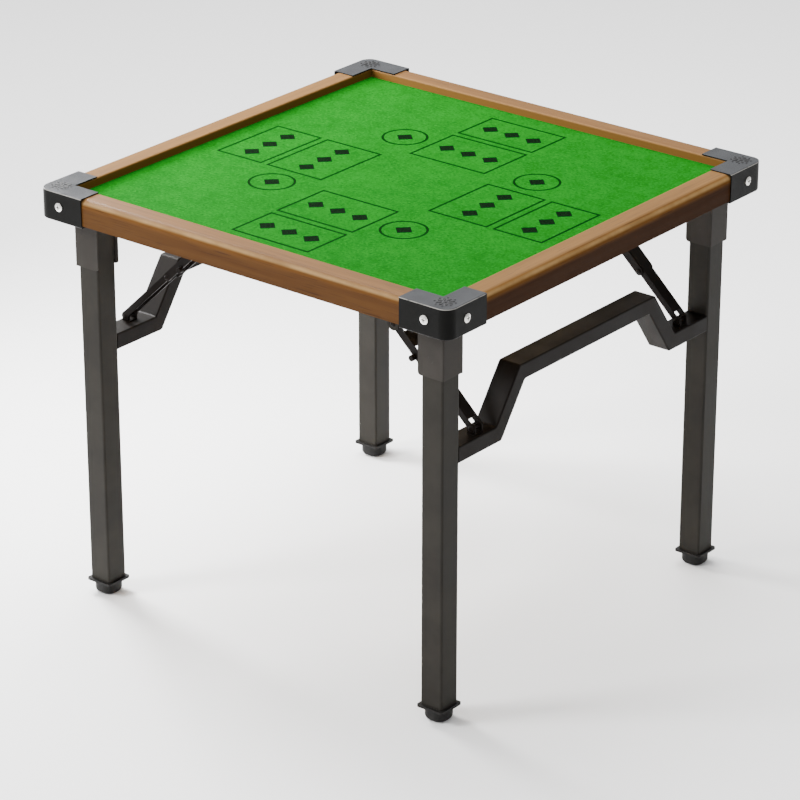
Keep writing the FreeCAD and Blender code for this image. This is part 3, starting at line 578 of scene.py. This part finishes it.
# %% [markdown]
# The rails are painted darker on their outer faces, more on the left and right rails than on the front and
# rear ones: painted shade. Their inner faces are painted lighter, and their tops paler, more on the left and
# right rails: painted light. A band on the rounded outer edge is painted pale in patches: a painted
# highlight. Each of these is a mask by height or by distance from the table's middle, laid over the plain
# stained wood.

# %% Stained rails
RAIL_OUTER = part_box("right_rail")[1][0]
RAIL_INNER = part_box("right_rail")[0][0]
RAIL_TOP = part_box("right_rail")[1][2]
INNER_PAINTED_LIGHT = 0.8
EDGE_LOW = RAIL_TOP - 0.0095
EDGE_HIGH = RAIL_TOP - 0.0002
EDGE_FADE = 0.0045
HIGHLIGHT_LEAST = 0.45
HIGHLIGHT_SPREAD = 0.4


def rail_wood(name, turn, depth, top_light_strength, gloss):
    """Stained wood with painted light on its inner faces. Depth sets the painted shade on the outer faces,
    and the next number the painted light on top.
    """
    finish, colour = stained_wood(name, turn, light=srgb(93, 59, 17), dark=srgb(79, 48, 13),
                                  pore=srgb(58, 33, 8), roughness=0.5, gloss=gloss)
    # Painted shade on the outer faces below the rounded edge.
    painted_outer_shade = finish.combine("SUBTRACT", finish.outward(RAIL_OUTER - 0.004, RAIL_OUTER),
                                finish.above(RAIL_TOP - 0.018, RAIL_TOP - 0.009), clamp=True)
    # Painted light on the inner faces, which face the felt.
    painted_inner_light = finish.combine("SUBTRACT", INNER_PAINTED_LIGHT,
                                finish.outward(RAIL_INNER + 0.001, RAIL_INNER + 0.004), clamp=True)
    # Painted light on the flat top.
    painted_top_light = finish.above(RAIL_TOP - 0.0015, RAIL_TOP - 0.0005)
    # Painted highlight along the rounded outer edge, made patchy by a slow mottle.
    edge = finish.combine("MULTIPLY", finish.band(EDGE_LOW, EDGE_HIGH, EDGE_FADE),
                          finish.outward(RAIL_OUTER - 0.012, RAIL_OUTER - 0.008))
    patches = finish.combine("MULTIPLY", finish.mottle(scale=16.0), HIGHLIGHT_SPREAD)
    patches = finish.combine("ADD", patches, HIGHLIGHT_LEAST)
    # The outer faces are darkened towards a deep brown as painted shade.
    colour = finish.mix(finish.combine("MULTIPLY", painted_outer_shade, depth), colour, srgb(38, 18, 4))
    # The inner faces are lightened as painted light.
    colour = finish.mix(painted_inner_light, colour, srgb(104, 72, 32))
    # The top is paled as painted light.
    colour = finish.mix(finish.combine("MULTIPLY", painted_top_light, top_light_strength), colour, srgb(150, 124, 90))
    # The pale tan mixed in last is the painted highlight on the edge.
    finish.colour(finish.mix(finish.combine("MULTIPLY", edge, patches), colour, srgb(146, 117, 76)))
    return finish.material


# The left and right rails get twice the painted shade on their outer faces and twice the painted light on
# top.
dress(rail_wood("rail_wood_along_x", turn=0.0, depth=0.45, top_light_strength=0.1, gloss=0.08), "front_rail", "rear_rail")
dress(rail_wood("rail_wood_along_y", turn=math.pi / 2, depth=0.9, top_light_strength=0.2, gloss=0.03),
      "left_rail", "right_rail")
print("rails:", round(RAIL_OUTER - RAIL_INNER, 4), "m wide")

# %% [markdown]
# The felt carries a thin printed layout: in front of each player two outlined boxes and a ring, with small
# lozenges in them. A print has no thickness, so it is drawn in the felt's own material. Helpers draw an
# outlined box, a ring and a lozenge, and a group puts one player's field together, which is turned about
# the middle of the table for the other three. The lines and the lozenges are separate masks, because they
# are printed in two inks.

# %% The printed layout
LINE_WIDTH = 0.0042
FIELD_HALF = 0.078
INNER_BOX = (0.114, 0.230)
OUTER_BOX = (0.245, 0.340)
RING_PLACE = (0.136, -0.171)
RING_RADIUS = 0.038
LOZENGE_STEP = 0.046
LOZENGE_HALF = 0.017

field_group, entry, leave = new_group("player_field", ["Lines", "Lozenges"])
field_place = entry.outputs["Vector"]


def offset_from(across, along):
    """The absolute distances from a point of the field."""
    move = field_group.nodes.new("ShaderNodeVectorMath")
    move.operation = "SUBTRACT"
    field_group.links.new(field_place, move.inputs[0])
    move.inputs[1].default_value = (across, along, 0.0)
    away = field_group.nodes.new("ShaderNodeVectorMath")
    away.operation = "ABSOLUTE"
    field_group.links.new(move.outputs["Vector"], away.inputs[0])
    split = field_group.nodes.new("ShaderNodeSeparateXYZ")
    field_group.links.new(away.outputs["Vector"], split.inputs["Vector"])
    return split.outputs["X"], split.outputs["Y"]


def printed_line(distance):
    """A line where a distance is nothing."""
    return within(field_group, math_node(field_group, "ABSOLUTE", distance), LINE_WIDTH / 2)


def printed_box(low, high):
    """The outline of a box between two distances from the table's middle."""
    x, y = offset_from(0.0, -(low + high) / 2)
    return printed_line(math_node(field_group, "MAXIMUM", math_node(field_group, "SUBTRACT", x, FIELD_HALF),
                                  math_node(field_group, "SUBTRACT", y, (high - low) / 2)))


def printed_ring(across, along):
    """A ring round a point."""
    squares = [math_node(field_group, "MULTIPLY", side, side) for side in offset_from(across, along)]
    radius = math_node(field_group, "SQRT", math_node(field_group, "ADD", *squares))
    return printed_line(math_node(field_group, "SUBTRACT", radius, RING_RADIUS))


def printed_lozenge(across, along):
    """A filled lozenge on a point."""
    return within(field_group, math_node(field_group, "ADD", *offset_from(across, along)), LOZENGE_HALF)


def union_of(tree, masks):
    """A mask that is 1 wherever one of several is."""
    union = masks[0]
    for mask in masks[1:]:
        union = math_node(tree, "MAXIMUM", union, mask)
    return union


outlines = [printed_box(*INNER_BOX), printed_box(*OUTER_BOX), printed_ring(*RING_PLACE)]
lozenges = [printed_lozenge(*RING_PLACE)]
for low, high in (INNER_BOX, OUTER_BOX):
    for step in (-LOZENGE_STEP, 0.0, LOZENGE_STEP):
        lozenges.append(printed_lozenge(step, -(low + high) / 2))
for label, marks in (("Lines", outlines), ("Lozenges", lozenges)):
    field_group.links.new(union_of(field_group, marks), leave.inputs[label])
print("marks in one player's field:", len(outlines) + len(lozenges))

# %% [markdown]
# The cloth is one thin sheet laid on the board, its margin held under the rails, with undulations of a
# fraction of a millimetre so that it isn't dead flat. A grid is fine enough for that, and Blender's solidify
# operator gives it its thickness.

# %% The felt as a cloth
FELT_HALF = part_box("playing_felt")[1][0]
FELT_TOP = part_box("playing_felt")[1][2]
FELT_PINCH = 0.0003
FELT_THICKNESS = 0.0011
FELT_WAVE = 0.00008
FELT_WAVE_SCALE = 14.0
FELT_GRID = 110

felt_shape = bmesh.new()
bmesh.ops.create_grid(felt_shape, x_segments=FELT_GRID, y_segments=FELT_GRID, size=FELT_HALF)
for vertex in felt_shape.verts:
    wave = noise.noise(vertex.co * FELT_WAVE_SCALE) * FELT_WAVE
    under_rail = max(abs(vertex.co.x), abs(vertex.co.y)) > RAIL_INNER
    vertex.co.z = FELT_TOP - (FELT_PINCH if under_rail else FELT_WAVE) + wave
bmesh.ops.solidify(felt_shape, geom=list(felt_shape.faces), thickness=FELT_THICKNESS)
for face in felt_shape.faces:
    face.smooth = True
felt = finished("felt_cloth", felt_shape)
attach(felt, "table_top")
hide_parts("playing_felt")
print("felt:", len(felt.data.polygons), "faces,", round(2 * FELT_HALF, 4), "m across")

# %% [markdown]
# Felt is a mat of short fibres. Up close it is a fine uneven fuzz with lighter and darker tufts, and from
# further away slow patches where the nap lies differently. Colours for each are laid over one another, and
# the print comes last, a little thinner where the fuzz is low.

# %% The felt's finish and print
INK_LEAST = 0.5
BRUSHED_SHARE = 0.3

felt_finish = Finish("green_felt", 0.92, Sheen_Weight=0.005, Sheen_Roughness=0.6, Specular_IOR_Level=0.01)
felt_finish.shader.inputs["Sheen Tint"].default_value = srgb(170, 206, 134)
fuzz = felt_finish.grain(scale=700.0)
tufts = felt_finish.grain(scale=210.0)
brushed = felt_finish.combine("MULTIPLY", felt_finish.mottle(scale=48.0), BRUSHED_SHARE)
cloth = felt_finish.mix(felt_finish.mottle(scale=11.0), srgb(2, 79, 11), srgb(6, 91, 15))
for mask, tone in (
    (felt_finish.stretch(fuzz, low=0.35, high=0.75), srgb(2, 77, 9)),
    (brushed, srgb(20, 108, 26)),
    (felt_finish.stretch(tufts, low=0.5, high=0.8), srgb(17, 109, 24)),
    (felt_finish.stretch(tufts, low=0.5, high=0.22), srgb(1, 62, 7)),
):
    cloth = felt_finish.mix(mask, cloth, tone)

fields = []
for quarter in range(4):
    spin = felt_finish.tree.nodes.new("ShaderNodeVectorRotate")
    spin.rotation_type = "Z_AXIS"
    spin.inputs["Angle"].default_value = quarter * math.pi / 2
    felt_finish.tree.links.new(felt_finish.place, spin.inputs["Vector"])
    fields.append(spin.outputs["Vector"])
soaked = felt_finish.combine("ADD", fuzz, INK_LEAST)
for label, ink in (("Lines", srgb(0, 24, 1)), ("Lozenges", srgb(1, 10, 3))):
    marks = union_of(felt_finish.tree, [felt_finish.effect(field_group, label, field) for field in fields])
    cloth = felt_finish.mix(felt_finish.combine("MULTIPLY", marks, soaked, clamp=True), cloth, ink)
felt_finish.colour(cloth)
felt_finish.bumps(fuzz, depth=0.0006, strength=0.6)
felt.data.materials.append(felt_finish.material)
print("print: the field of one player, set down", len(fields), "times")

# %% [markdown]
# Each cap has a small moulded rosette near its corner. A petal is a circle squeezed to an oval and given a
# little height, repeated round the middle, and a button and a ring of dots finish it. The same rosette is
# made on each of the four corners.

# %% Rosettes on the caps
ROSETTE_INSET = 0.0275
ROSETTE_HEIGHT = 0.0006
TOP_SHRINK = 0.86
BUTTON_RADIUS = 0.0036
PETALS = 8
PETAL_RADIUS = 0.0050
PETAL_PLACE = 0.0102
PETAL_SQUEEZE = 0.52
DOT_RADIUS = 0.0018
DOT_PLACE = 0.0166


def raised_disc(shape, radius, segments, transform):
    """Adds a disc with a little height and a smaller top, placed by a matrix."""
    made = bmesh.ops.create_circle(shape, cap_ends=True, segments=segments, radius=radius, matrix=transform)
    face = next(iter({face for vertex in made["verts"] for face in vertex.link_faces}))
    grown = bmesh.ops.extrude_face_region(shape, geom=[face])
    lifted = [item for item in grown["geom"] if isinstance(item, bmesh.types.BMVert)]
    bmesh.ops.translate(shape, verts=lifted, vec=(0.0, 0.0, ROSETTE_HEIGHT))
    bmesh.ops.scale(shape, verts=lifted, vec=(TOP_SHRINK, TOP_SHRINK, 1.0),
                    space=Matrix.Translation(-transform.translation))


def round_middle(steps):
    """A turn about the middle by a number of petals."""
    return Matrix.Rotation(2 * math.pi * steps / PETALS, 4, "Z")


rosette_finish = moulded(
    "rosette_plastic", roughness=0.7, gloss=0.25, colours=(srgb(6, 6, 7), srgb(11, 11, 12)),
    patch_scale=90.0, grain_scale=1400.0, depth=0.0002, strength=0.4)
petal_shape = Matrix.Translation((PETAL_PLACE, 0.0, 0.0)) @ Matrix.Diagonal((1.0, PETAL_SQUEEZE, 1.0, 1.0))
dot_shape = Matrix.Translation((DOT_PLACE, 0.0, 0.0))
inset = CAP_OUTER - ROSETTE_INSET
for corner in CORNERS:
    along = 1 if "right" in corner else -1
    across = 1 if "rear" in corner else -1
    middle = Matrix.Translation((along * inset, across * inset, CAP_TOP))
    rosette_shape = bmesh.new()
    raised_disc(rosette_shape, BUTTON_RADIUS, segments=20, transform=middle)
    for petal in range(PETALS):
        raised_disc(rosette_shape, PETAL_RADIUS, segments=16,
                    transform=middle @ round_middle(petal) @ petal_shape)
        raised_disc(rosette_shape, DOT_RADIUS, segments=12,
                    transform=middle @ round_middle(petal + 0.5) @ dot_shape)
    bmesh.ops.recalc_face_normals(rosette_shape, faces=list(rosette_shape.faces))
    rosette = finished(corner + "_rosette", rosette_shape)
    rosette.data.materials.append(rosette_finish.material)
    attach(rosette, "table_top")
print("rosettes:", len(CORNERS))
